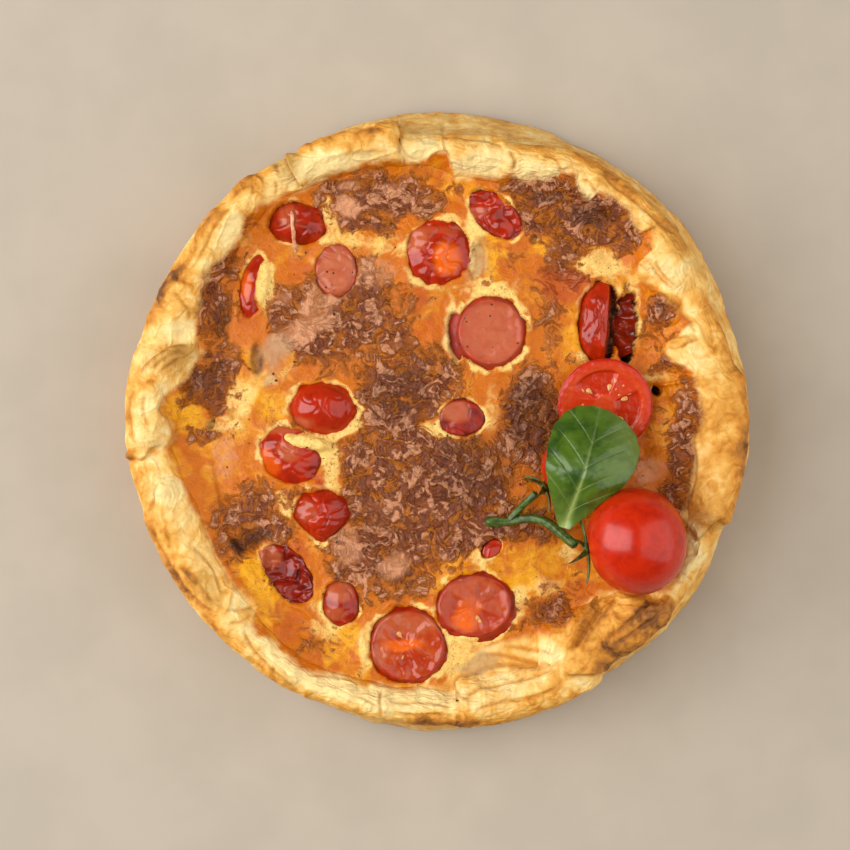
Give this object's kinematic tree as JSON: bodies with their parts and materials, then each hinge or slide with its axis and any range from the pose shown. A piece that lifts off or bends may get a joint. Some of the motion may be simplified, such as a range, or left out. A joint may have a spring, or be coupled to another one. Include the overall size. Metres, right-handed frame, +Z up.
{
  "type": "cherry tomato quiche",
  "caption": "Round deep puff pastry quiche with browned custard, baked cherry tomato halves set in it, and a garnish of fresh tomatoes on their stalk with a green leaf.",
  "frame": {"origin": "centre of the flat underside of the pastry case, on the surface it rests on", "axes": "+Z up, +Y the far side as seen from above with the garnish at the right, +X to the right, towards the garnish"},
  "size_m": [0.1976, 0.196, 0.0643],
  "materials": {
    "puff_pastry": "baked laminated pastry, cream in the folds and golden brown on the ridges",
    "baked_custard": "glossy baked egg custard, yellow-orange with dark brown blistered areas",
    "baked_tomato": "wet baked tomato skin or cut flesh",
    "fresh_tomato": "smooth glossy raw tomato skin or cut flesh",
    "green_stalk": "fine hairy green stalk and sepals",
    "green_leaf": "waxy green leaf with pale veins"
  },
  "bodies": {
    "root": {"pastry_case": "puff_pastry", "custard_filling": "baked_custard", "raw_tomato_half": "fresh_tomato", "vine_tomato_front": "fresh_tomato", "vine_tomato_back": "fresh_tomato", "calyx_front": "green_stalk", "calyx_back": "green_stalk", "vine_stem": "green_stalk", "basil_leaf": "green_leaf", "baked_tomato_01": "baked_tomato", "baked_tomato_02": "baked_tomato", "baked_tomato_03": "baked_tomato", "baked_tomato_04": "baked_tomato", "baked_tomato_05": "baked_tomato", "baked_tomato_06": "baked_tomato", "baked_tomato_07": "baked_tomato", "baked_tomato_08": "baked_tomato", "baked_tomato_09": "baked_tomato", "baked_tomato_10": "baked_tomato", "baked_tomato_11": "baked_tomato", "baked_tomato_12": "baked_tomato", "baked_tomato_13": "baked_tomato", "baked_tomato_14": "baked_tomato", "baked_tomato_15": "baked_tomato", "baked_tomato_16": "baked_tomato"}
  },
  "joints": []
}
